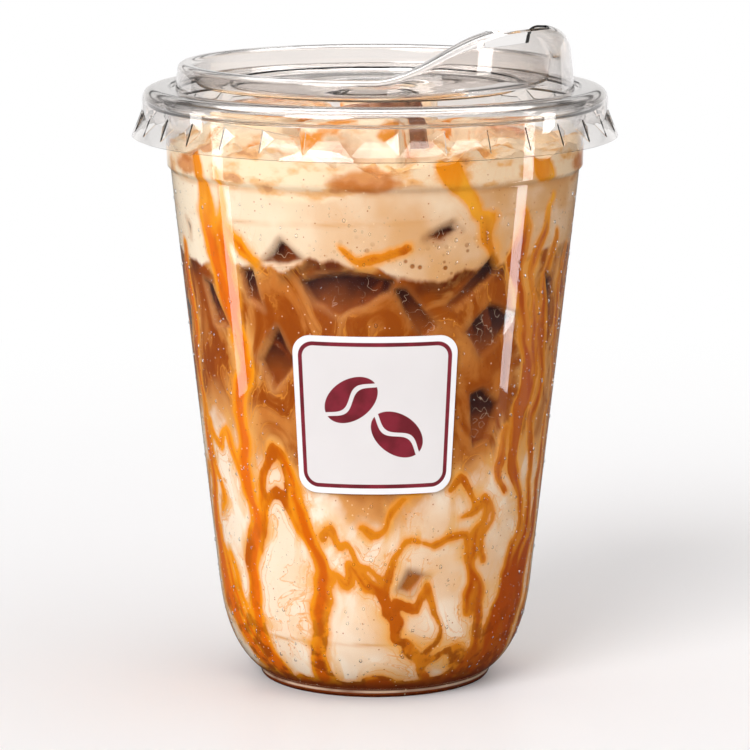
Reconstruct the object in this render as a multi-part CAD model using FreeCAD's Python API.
import FreeCAD, Part
import math
import os

# Iced caramel latte: a clear round-heeled cup with a sip lid, filled with a pool of caramel, milk,
# coffee and a cap of cream, with ice standing out of the cream.
# Millimetres, +Z up. The origin is the centre of the foot ring, on the table. The sticker faces -Y.

Vector = FreeCAD.Vector
AXIS_Z = Vector(0, 0, 1)
ORIGIN = Vector(0, 0, 0)
FRONT = -90.0                     # direction of the sticker, degrees from +X

# ---- cup: one sheet of clear plastic, drawn deep and rolled over at the rim
cup_height = 127.8                # table to the top of the rolled rim
cup_sheet = 0.5                   # thickness of the cup's wall
rim_radius = 49.0                 # outside of the rolled rim
rim_width = 4.0                   # rolled rim, from the neck to its outside
rim_height = 3.6
rim_roll_radius = 1.2             # inside corner of the roll
rim_end_gap = 1.5                 # slot between the neck and the rolled-in end
neck_lean = 0.5                   # how far the neck opens from the ledge to the rim
neck_height = 17.0                # stacking ledge to the top of the rim
ledge_step = 0.75                 # the wall steps in here, so that nested cups come apart
ledge_rise = 0.9
heel_radius = 33.85               # wall radius where the round heel starts
heel_top = 21.0
heel_end_angle = 52.0             # the heel's lean from upright where it meets the foot
foot_radius = 25.0
foot_height = 2.3
foot_lip = 0.9                    # the heel ends this far outside the foot ring
foot_ring_width = 4.4
foot_corner = 0.9
foot_lip_rise = 0.5               # the foot opens out to its lip over this height
punt_height = 2.6                 # underside of the raised base panel
punt_slope = 0.6                  # how far the foot ring's inner side leans in
punt_corner = 0.7

# ---- lid: one thinner sheet, pressed over the rim
lid_sheet = 0.45
seat_clearance = 0.1              # flange to the top of the cup's rim
snap_clearance = 0.25             # bead to the outside of the rim
bead_height = 4.6                 # flange top to the first fold of the skirt
bead_corner = 2.6
flange_width = 6.4                # outside of the cup's rim to the raised ring
groove_width = 1.3
groove_depth = 0.6
groove_foot = 0.8                 # how far the groove's floor runs in under the ring
groove_corner = 0.3
flange_corner = 0.4               # where the flange turns down into the groove
ring_height = 5.1                 # raised ring over the flange
ring_width = 5.4                  # ring's outside to the flat of the recessed panel
ring_lean = 0.45
ring_roll = 1.5                   # radius of both edges of the ring's top
ring_flat = 0.8                   # between the two
recess_depth = 4.3                # top of the ring to the recessed panel
recess_fillet = 0.8
terrace_width = 11.6              # ring to the round step in the panel
step_depth = 0.9
step_bead = 0.15
button_radius = 9.0               # dished middle of the panel
button_depth = 0.5
button_slope = 0.8                # width of the dish's sloping side
vent_radius = 0.9
vent_gap = 9.0                    # vent's centre to the round step

# ---- drinking spout: the ring swells up and inwards on one side
spout_direction = FRONT + 53.0
spout_reach = 54.0                # half of its angle
spout_rise = 9.4
spout_roll = 0.7                  # extra radius of its top edges
spout_flat = 1.2                  # extra flat
spout_lean = 1.1                  # extra lean of its outer wall
spout_depth = 5.8                 # how far its inner foot moves in
spout_fillet = 1.4
spout_fullness = 1.45             # over 1, the top stays broad before it falls away
spout_sections = 17
slot_inner = 8.4                  # drinking slot, measured in from the ring
slot_outer = 2.4
slot_half_angle = 10.0
slot_depth = 4.2                  # how far it cuts down the inner edge

# ---- skirt: straight folds that stiffen the lid's edge
skirt_folds = 33
skirt_flare = 2.25
skirt_drop = 10.4                 # flange top to the bottom edge
skirt_lip = 1.1                   # plain band under the folds
fold_depth = 0.8                  # how far each window lies behind its ridges
fold_level = 0.38                 # height of a window's top edge, as a share of the fold, from the top
fold_share = 0.225                # half of that edge, as a share of one fold
fold_overlap = 0.4                # how far the band runs up into the bead and down into the lip
fold_bite = 0.05                  # how far its ridges lie inside the bead's and lip's outside

# ---- drink
fill_gap = 13.4                   # rim top to the drink's level
cream_depth = 20.0
coffee_depth = 41.0
caramel_depth = 2.2               # over the base panel
surface_room = 4.0                # the highest hump of the cream stays below this much over the fill level

# Soft humps and hollows of each surface: (x, y, height, spread)
milk_lobes = [(2, -34, -10, 13), (-30, -16, 8, 13), (30, -18, 1, 12), (12, 30, 6, 15), (-22, 26, -6, 13)]
coffee_lobes = [(-8, -38, 1.6, 7), (10, -38, -1.8, 8), (34, -20, 1.4, 9), (-33, -22, -1.2, 9), (0, 34, 1.5, 14)]
cream_lobes = [(-22, -36, 1.4, 9), (0, -40, -1.2, 9), (24, -34, 1.0, 10), (-6, 30, 1.6, 15), (30, 12, -1.0, 12)]
caramel_lobes = [(8, -16, 0.5, 8), (-14, 6, -0.4, 9)]
surface_points = 15               # grid points across each drink surface
surface_reach = 1.05              # half of the grid's width, as a share of the rim's radius

# ---- ice that stands out of the cream
ice_places = 6                    # round the neck. The place under the spout stays free
ice_round = 2.4
ice_wall_gap = 5.6                # ice to the cup's neck, level
ice_spacing = 7.6                 # room between neighbours, level
ice_centre_gap = 4.5              # room round the block in the middle
ice_lid_gap = 1.1                 # highest corner to the underside of the lid
ice_drop = 5.0                    # how much lower the lowest block stands
ice_size_change = 0.05            # blocks differ in size by this share
ice_tilt = 7.0                    # degrees
ice_tilt_change = 4.0
ice_tilt_turn = 70.0              # the tilt's direction turns by this much from block to block
middle_ice_turn = (24.0, 12.0, 200.0)   # yaw, tilt and tilt direction of the block in the middle

# ---- sticker
sticker_size = 34.0               # square, measured round the wall and up it
sticker_sheet = 0.15
sticker_corner = 3.8
sticker_drop = 30.2               # stacking ledge to its top edge


# ---------------------------------------------------------------- outlines in the (radius, height) plane
def radial(direction, radius, height):
    """A point at this direction in degrees, radius and height."""
    angle = math.radians(direction)
    return Vector(radius * math.cos(angle), radius * math.sin(angle), height)


def offset_outline(corners, gap):
    """The outline moved by gap to the left of its direction of travel. A corner is (r, z, fillet)."""
    moved = []
    last = len(corners) - 1
    for i, (r, z, fillet) in enumerate(corners):
        ends = [(corners[max(i - 1, 0)], corners[max(i, 1)]), (corners[min(i, last - 1)], corners[min(i + 1, last)])]
        normals = []
        for (r0, z0, _), (r1, z1, _) in ends:
            length = math.hypot(r1 - r0, z1 - z0)
            normals.append((-(z1 - z0) / length, (r1 - r0) / length))
        (ax, az), (bx, bz) = normals
        share = gap / (1 + ax * bx + az * bz)
        left_turn = ax * bz - az * bx > 0
        radius = fillet
        if fillet not in (0, "curve"):
            radius = fillet - gap if left_turn else fillet + gap
        moved.append((r + share * (ax + bx), z + share * (az + bz), radius))
    return moved


def outline_edges(corners):
    """Lines along the corners, with a tangent arc at each filleted one. At "curve" the whole bend is one curve."""
    points = [Vector(r, 0, z) for r, z, _ in corners]
    edges = []
    here = points[0]
    for i in range(1, len(corners)):
        corner = points[i]
        fillet = corners[i][2]
        if fillet == "curve":
            bend = Part.BezierCurve()
            bend.setPoles([here, corner, points[i + 1]])
            edges.append(bend.toShape())
            here = points[i + 1]
            continue
        if (corner - here).Length < 1e-7:
            continue
        if fillet == 0 or i == len(corners) - 1:
            edges.append(Part.LineSegment(here, corner).toShape())
            here = corner
            continue
        back = (here - corner).normalize()
        onward = (points[i + 1] - corner).normalize()
        half_turn = back.getAngle(onward) / 2
        reach = fillet / math.tan(half_turn)
        middle = corner + (back + onward).normalize() * (fillet / math.sin(half_turn) - fillet)
        start, end = corner + back * reach, corner + onward * reach
        if (start - here).Length > 1e-6:
            edges.append(Part.LineSegment(here, start).toShape())
        edges.append(Part.Arc(start, middle, end).toShape())
        here = end
    return edges


def end_point(edges, index):
    return edges[index].Vertexes[0 if index == 0 else -1].Point


def closed_face(outer, inner):
    """The face between two outlines that run the same way."""
    first = Part.LineSegment(end_point(inner, 0), end_point(outer, 0)).toShape()
    last = Part.LineSegment(end_point(outer, -1), end_point(inner, -1)).toShape()
    wire = Part.Wire(Part.__sortEdges__([first] + outer + [last] + inner))
    return Part.Face(wire)


def turned(face, start=0.0, sweep=360.0):
    """The face, drawn over +X, swept about the axis from this direction."""
    placed = face.copy()
    placed.rotate(ORIGIN, AXIS_Z, start)
    return placed.revolve(ORIGIN, AXIS_Z, sweep)


def as_solid(shape):
    """The one solid in a shape, its walls pointing outwards."""
    solid = shape.Solids[0] if shape.Solids else Part.Solid(shape.Shells[0])
    if solid.Volume < 0:
        solid.reverse()
    return solid


# ---------------------------------------------------------------- cup
ledge_level = cup_height - neck_height
neck_radius = rim_radius - rim_width - neck_lean
wall_radius = neck_radius - ledge_step
wall_draft = math.atan2(wall_radius - heel_radius, ledge_level - heel_top)


def heel_corner():
    """Where the wall's line and the heel's end tangent cross."""
    lean = math.radians(heel_end_angle)
    end_r, end_z = foot_radius + foot_lip, foot_height
    drop_r, drop_z = -math.sin(wall_draft), -math.cos(wall_draft)
    rise_r, rise_z = math.sin(lean), math.cos(lean)
    cross = drop_r * rise_z - drop_z * rise_r
    along = ((end_r - heel_radius) * rise_z - (end_z - heel_top) * rise_r) / cross
    return heel_radius + along * drop_r, heel_top + along * drop_z


def wall_corners():
    """The cup's outside from the middle of the base to the ledge and up the neck, without the rim."""
    heel_r, heel_z = heel_corner()
    ring_inner = foot_radius - foot_ring_width
    return [
        (0.0, punt_height, 0),
        (ring_inner - punt_slope, punt_height, punt_corner),
        (ring_inner, 0.0, foot_corner),
        (foot_radius, 0.0, foot_corner),
        (foot_radius, foot_height - foot_lip_rise, 0),
        (foot_radius + foot_lip, foot_height, 0),
        (heel_r, heel_z, "curve"),
        (heel_radius, heel_top, 0),
        (wall_radius, ledge_level, 0),
        (neck_radius, ledge_level + ledge_rise, 0),
    ]


def rim_corners():
    """The outside skin over the rim: up the neck, out, down and back in."""
    top = cup_height - cup_sheet
    outside = rim_radius - cup_sheet
    neck_top = neck_radius + neck_lean
    under = cup_height - rim_height + cup_sheet
    return [
        (neck_top, top, rim_roll_radius),
        (outside, top, rim_roll_radius),
        (outside, under, rim_roll_radius),
        (neck_top + rim_end_gap, under, 0),
    ]


def make_cup():
    corners = wall_corners() + rim_corners()
    face = closed_face(outline_edges(corners), outline_edges(offset_outline(corners, cup_sheet)))
    return as_solid(turned(face))


def inside_outline(top):
    """The cup's inner skin from the middle of the base up to this level."""
    inner = offset_outline(wall_corners() + rim_corners(), cup_sheet)[:len(wall_corners())]
    r, z, _ = inner[-1]
    slope = neck_lean / (cup_height - cup_sheet - ledge_level - ledge_rise)
    return inner + [(r + (top - z) * slope, top, 0)]


def cup_inside(top):
    """Everything that the cup holds up to this level, as one solid."""
    edges = outline_edges(inside_outline(top))
    base, rim = end_point(edges, 0), end_point(edges, -1)
    lid_line = Part.LineSegment(rim, Vector(0, 0, top)).toShape()
    axis_line = Part.LineSegment(Vector(0, 0, top), base).toShape()
    return as_solid(turned(Part.Face(Part.Wire(edges + [lid_line, axis_line]))))


# ---------------------------------------------------------------- lid
flange_top = cup_height + seat_clearance + lid_sheet
bead_radius = rim_radius + snap_clearance + lid_sheet
ring_radius = rim_radius - flange_width
ring_top = flange_top + ring_height
panel_level = ring_top - recess_depth
groove_level = flange_top - groove_depth
step_radius = ring_radius - terrace_width
skirt_bottom = flange_top - skirt_drop
bead_bottom = flange_top - bead_height


def make_flange():
    """Bead over the cup's rim, flat flange, and the groove round the foot of the ring."""
    outer = [
        (bead_radius, bead_bottom, 0),
        (bead_radius, flange_top, bead_corner),
        (ring_radius + groove_width, flange_top, flange_corner),
        (ring_radius + groove_width - groove_corner, groove_level, groove_corner),
        (ring_radius - groove_foot, groove_level, 0),
    ]
    return as_solid(turned(closed_face(outline_edges(outer), outline_edges(offset_outline(outer, lid_sheet)))))


def make_panel():
    """The step in the recessed panel, with the middle of the panel and its dished button."""
    low = panel_level - step_depth
    step_top = panel_level + step_bead
    under = low - lid_sheet
    half = lid_sheet / 2
    dish = low - button_depth
    dish_edge = button_radius - button_slope
    outline = [
        (0, dish), (dish_edge, dish), (button_radius, low), (step_radius - half, low),
        (step_radius - half, step_top), (step_radius + half, step_top), (step_radius + half, under),
        (button_radius - half, under), (dish_edge - half, dish - lid_sheet), (0, dish - lid_sheet), (0, dish),
    ]
    wire = Part.makePolygon([Vector(r, 0, z) for r, z in outline])
    return as_solid(turned(Part.Face(wire)))


def spout_share(direction):
    """How much of the spout there is in this direction: 1 at its middle, 0 beyond its reach."""
    off = abs(direction - spout_direction) / spout_reach
    return math.cos(math.pi / 2 * min(off, 1.0) ** spout_fullness) ** 2


def normal_angle(start, end, distance, side):
    """Angle of the normal of the line that passes start at this distance and runs through end."""
    run_r, run_z = end[0] - start[0], end[1] - start[1]
    return math.atan2(run_z, run_r) + side * math.acos(distance / math.hypot(run_r, run_z))


def ring_section(share, direction):
    """Section through the ring's sheet where the spout has this share, as a wire at its direction.
    The sheet rises from the groove, rolls over both edges of the top and slopes to a fillet at the panel."""
    roll = ring_roll + spout_roll * share
    fillet = recess_fillet + spout_fillet * share
    base = groove_level - lid_sheet / 2
    edge_level = ring_top + spout_rise * share - roll
    outer_edge = (ring_radius - ring_lean - spout_lean * share - roll, edge_level)
    inner_edge = (outer_edge[0] - ring_flat - spout_flat * share, edge_level)
    foot = (ring_radius - ring_width - spout_depth * share, panel_level + fillet)
    wall = normal_angle(outer_edge, (ring_radius, base), roll, 1)
    slope = normal_angle(inner_edge, foot, roll + fillet, -1) % (2 * math.pi)

    def bend(centre, radius, start, end):
        """Three points of an arc: its start, middle and end."""
        angles = (start, (start + end) / 2, end)
        return [Vector(centre[0] + radius * math.cos(t), 0, centre[1] + radius * math.sin(t)) for t in angles]

    def skin(depth):
        over, under = roll - depth, fillet + depth
        outer = bend(outer_edge, over, wall, math.pi / 2)
        inner = bend(inner_edge, over, math.pi / 2, slope)
        heel = bend(foot, under, slope + math.pi, 1.5 * math.pi)
        wall_foot = Vector(ring_radius - depth / math.cos(wall), 0, base)
        panel_end = Vector(step_radius, 0, foot[1] - under)
        return [Part.LineSegment(wall_foot, outer[0]).toShape(), Part.Arc(*outer).toShape(),
                Part.LineSegment(outer[2], inner[0]).toShape(), Part.Arc(*inner).toShape(),
                Part.LineSegment(inner[2], heel[0]).toShape(), Part.Arc(*heel).toShape(),
                Part.LineSegment(heel[2], panel_end).toShape()]

    wire = closed_face(skin(0.0), skin(lid_sheet)).OuterWire.copy()
    wire.rotate(ORIGIN, AXIS_Z, direction)
    return wire


def make_ring():
    """The raised ring: plain where there is no spout, and lofted through turned sections where there is."""
    first = spout_direction - spout_reach
    plain = Part.Face(ring_section(0.0, 0.0))
    plain_part = as_solid(turned(plain, first + 2 * spout_reach, 360.0 - 2 * spout_reach))
    step = 2 * spout_reach / (spout_sections - 1)
    directions = [first + step * i for i in range(spout_sections)]
    sections = [ring_section(spout_share(d), d) for d in directions]
    return plain_part, as_solid(Part.makeLoft(sections, True, False))


def make_skirt():
    """Folded band: each fold has two ridges, a flat top facet, two side facets and a window."""
    top, bottom = bead_bottom, skirt_bottom + skirt_lip
    pitch = 360.0 / skirt_folds
    ridge_foot = bead_radius + skirt_flare * (top - bottom) / (top - skirt_bottom)
    fold_z = top + (bottom - top) * fold_level
    fold_radius = bead_radius + (ridge_foot - bead_radius) * fold_level - fold_depth
    ridge_radius = bead_radius - fold_bite

    def ring_points(inset, k):
        ridge = FRONT + (k + 0.5) * pitch
        middle = ridge + pitch / 2
        half = fold_share * pitch
        return {
            "head": radial(ridge, ridge_radius - inset, top + fold_overlap),
            "ridge_top": radial(ridge, ridge_radius - inset, top),
            "left": radial(middle - half, fold_radius - inset, fold_z),
            "right": radial(middle + half, fold_radius - inset, fold_z),
            "ridge_foot": radial(ridge, ridge_foot - fold_bite - inset, bottom),
            "tail": radial(ridge, ridge_foot + fold_bite - inset, bottom - fold_overlap),
        }

    def skin(inset):
        faces = []
        for k in range(skirt_folds):
            a, b = ring_points(inset, k), ring_points(inset, (k + 1) % skirt_folds)
            faces += [
                [a["head"], b["head"], b["ridge_top"], a["ridge_top"]],
                [a["ridge_top"], b["ridge_top"], a["right"], a["left"]],
                [a["ridge_top"], a["left"], a["ridge_foot"]],
                [b["ridge_top"], b["ridge_foot"], a["right"]],
                [a["left"], a["right"], b["ridge_foot"], a["ridge_foot"]],
                [a["ridge_foot"], b["ridge_foot"], b["tail"], a["tail"]],
            ]
        return faces

    faces = skin(0.0) + skin(lid_sheet)
    for k in range(skirt_folds):
        n = (k + 1) % skirt_folds
        for name in ("head", "tail"):
            outer_a, outer_b = ring_points(0.0, k)[name], ring_points(0.0, n)[name]
            inner_a, inner_b = ring_points(lid_sheet, k)[name], ring_points(lid_sheet, n)[name]
            faces.append([outer_a, outer_b, inner_b, inner_a])
    shell = Part.Shell([Part.Face(Part.makePolygon(f + [f[0]])) for f in faces])
    return as_solid(Part.Solid(shell))


def make_lip():
    """Plain flared band that closes the skirt's lower edge."""
    slope = skirt_flare / (bead_bottom - skirt_bottom)
    top = skirt_bottom + skirt_lip
    bottom_radius = bead_radius + skirt_flare
    outer = [
        (bottom_radius, skirt_bottom, 0),
        (bottom_radius, skirt_bottom + lid_sheet, 0),
        (bottom_radius - slope * skirt_lip, top, 0),
    ]
    return as_solid(turned(closed_face(outline_edges(outer), outline_edges(offset_outline(outer, lid_sheet)))))


def make_slot():
    """Prism for the drinking slot, bent to follow the ring, with round ends."""
    inner, outer = ring_radius - slot_inner, ring_radius - slot_outer
    middle, half = (inner + outer) / 2, slot_half_angle
    level = ring_top + spout_rise - slot_depth
    bulge = math.degrees((outer - inner) / 2 / middle)
    low, high = spout_direction - half, spout_direction + half
    arcs = [
        (radial(low, outer, level), radial(spout_direction, outer, level), radial(high, outer, level)),
        (radial(high, outer, level), radial(high + bulge, middle, level), radial(high, inner, level)),
        (radial(high, inner, level), radial(spout_direction, inner, level), radial(low, inner, level)),
        (radial(low, inner, level), radial(low - bulge, middle, level), radial(low, outer, level)),
    ]
    wire = Part.Wire([Part.Arc(*points).toShape() for points in arcs])
    return Part.Face(wire).extrude(Vector(0, 0, slot_depth + lid_sheet))


def make_lid():
    plain_part, spout = make_ring()
    lid = make_flange().fuse([plain_part, spout, make_panel(), make_skirt(), make_lip()])
    vent_place = radial(spout_direction + 180.0, step_radius - vent_gap, panel_level - recess_depth)
    vent = Part.makeCylinder(vent_radius, 2 * recess_depth, vent_place)
    return lid.cut(make_slot()).cut(vent)


# ---------------------------------------------------------------- ice
def ice_block(size, yaw, tilt, tilt_direction, distance, top):
    """A block with rounded edges, turned, tilted and set at its place, with its highest point at top."""
    width, depth, height = size
    block = Part.makeBox(width, depth, height, Vector(-width / 2, -depth / 2, -height / 2))
    block = block.makeFillet(ice_round, block.Edges)
    block.rotate(ORIGIN, radial(tilt_direction, 1, 0), tilt)
    block.rotate(ORIGIN, AXIS_Z, yaw)
    place = radial(yaw, distance, 0)
    block.translate(Vector(place.x, place.y, top - block.optimalBoundingBox().ZMax))
    return block


def make_ice():
    """A ring of blocks inside the neck with one in the middle. The place under the spout stays free."""
    room = neck_radius - cup_sheet - ice_wall_gap
    chord_share = math.sin(math.pi / ice_places)
    width = (2 * room * chord_share - ice_spacing) / (1 + chord_share)
    ring = room - width / 2
    heap_top = panel_level - step_depth - button_depth - lid_sheet - ice_lid_gap
    blocks = {}
    for k in range(1, ice_places):
        direction = spout_direction + 360.0 * k / ice_places
        size = [width * (1 + ice_size_change * math.sin(2.3 * k + turn)) for turn in (0.0, 2.0, 4.0)]
        tilt = ice_tilt + ice_tilt_change * math.sin(1.9 * k)
        drop = ice_drop * (0.5 + 0.5 * math.sin(2.1 * k))
        blocks[f"ice_{k}"] = ice_block(size, direction, tilt, ice_tilt_turn * k, ring, heap_top - drop)
    middle = (ring - width / 2 - ice_centre_gap) * math.sqrt(2)
    blocks[f"ice_{ice_places}"] = ice_block([middle] * 3, *middle_ice_turn, 0, heap_top)
    return blocks


# ---------------------------------------------------------------- drink
fill_level = cup_height - fill_gap
coffee_top = fill_level - cream_depth
milk_top = coffee_top - coffee_depth
caramel_top = punt_height + cup_sheet + caramel_depth


def surface_height(x, y, level, lobes):
    """Height of a soft surface: its level, with round humps and hollows."""
    height = level
    for cx, cy, rise, spread in lobes:
        height += rise * math.exp(-((x - cx) ** 2 + (y - cy) ** 2) / (2 * spread ** 2))
    return height


def above(level, lobes):
    """All space over a soft surface, wider than the cup."""
    half = rim_radius * surface_reach
    steps = [half * (2 * i / (surface_points - 1) - 1) for i in range(surface_points)]
    grid = [[Vector(x, y, surface_height(x, y, level, lobes)) for y in steps] for x in steps]
    surface = Part.BSplineSurface()
    surface.interpolate(grid)
    return as_solid(surface.toShape().extrude(Vector(0, 0, cup_height)))


def make_drink(ice):
    """The four layers, each lying on the one below, with hollows for the ice in the cream."""
    inside = cup_inside(fill_level + surface_room)
    over_caramel = above(caramel_top, caramel_lobes)
    over_milk = above(milk_top, milk_lobes)
    over_coffee = above(coffee_top, coffee_lobes)
    over_cream = above(fill_level, cream_lobes)
    layers = {
        "caramel_pool": inside.cut(over_caramel),
        "milk": inside.common(over_caramel).cut(over_milk),
        "coffee": inside.common(over_milk).cut(over_coffee),
        "cream": inside.common(over_coffee).cut(over_cream),
    }
    for piece in ice.values():
        layers["cream"] = layers["cream"].cut(piece)
    return layers


# ---------------------------------------------------------------- sticker
def make_sticker():
    """A thin square patch with round corners, bent round the wall under the ledge."""
    top = ledge_level - sticker_drop
    bottom = top - sticker_size * math.cos(wall_draft)
    slope = math.tan(wall_draft)

    def wall_at(z):
        return wall_radius - (ledge_level - z) * slope

    middle_radius = wall_at((top + bottom) / 2)
    half_angle = sticker_size / 2 / middle_radius
    wide, narrow = (wall_at(z) * math.sin(half_angle) for z in (top, bottom))
    corners = [(0, bottom, 0), (narrow, bottom, sticker_corner), (wide, top, sticker_corner),
               (-wide, top, sticker_corner), (-narrow, bottom, sticker_corner), (0, bottom, 0)]
    outline = Part.Face(Part.Wire(outline_edges(corners)))
    prism = outline.extrude(Vector(0, -2 * rim_radius, 0))
    skin = [(wall_at(bottom - 1), bottom - 1, 0), (wall_at(top + 1), top + 1, 0)]
    band = turned(closed_face(outline_edges(skin), outline_edges(offset_outline(skin, -sticker_sheet))))
    return as_solid(band.common(prism))


# ---------------------------------------------------------------- write the pieces
def main():
    ice = make_ice()
    nodes = {"cup": make_cup(), "lid": make_lid(), "sticker": make_sticker()}
    nodes.update(make_drink(ice))
    nodes.update(ice)
    os.makedirs("parts", exist_ok=True)
    for name, shape in nodes.items():
        solids = shape.Solids
        print(name, "solids", len(solids), "valid", shape.isValid(), "cm3", round(shape.Volume / 1000, 3),
              "z", round(shape.BoundBox.ZMin, 2), round(shape.BoundBox.ZMax, 2))
        shape.exportStep(f"parts/{name}.step")


main()
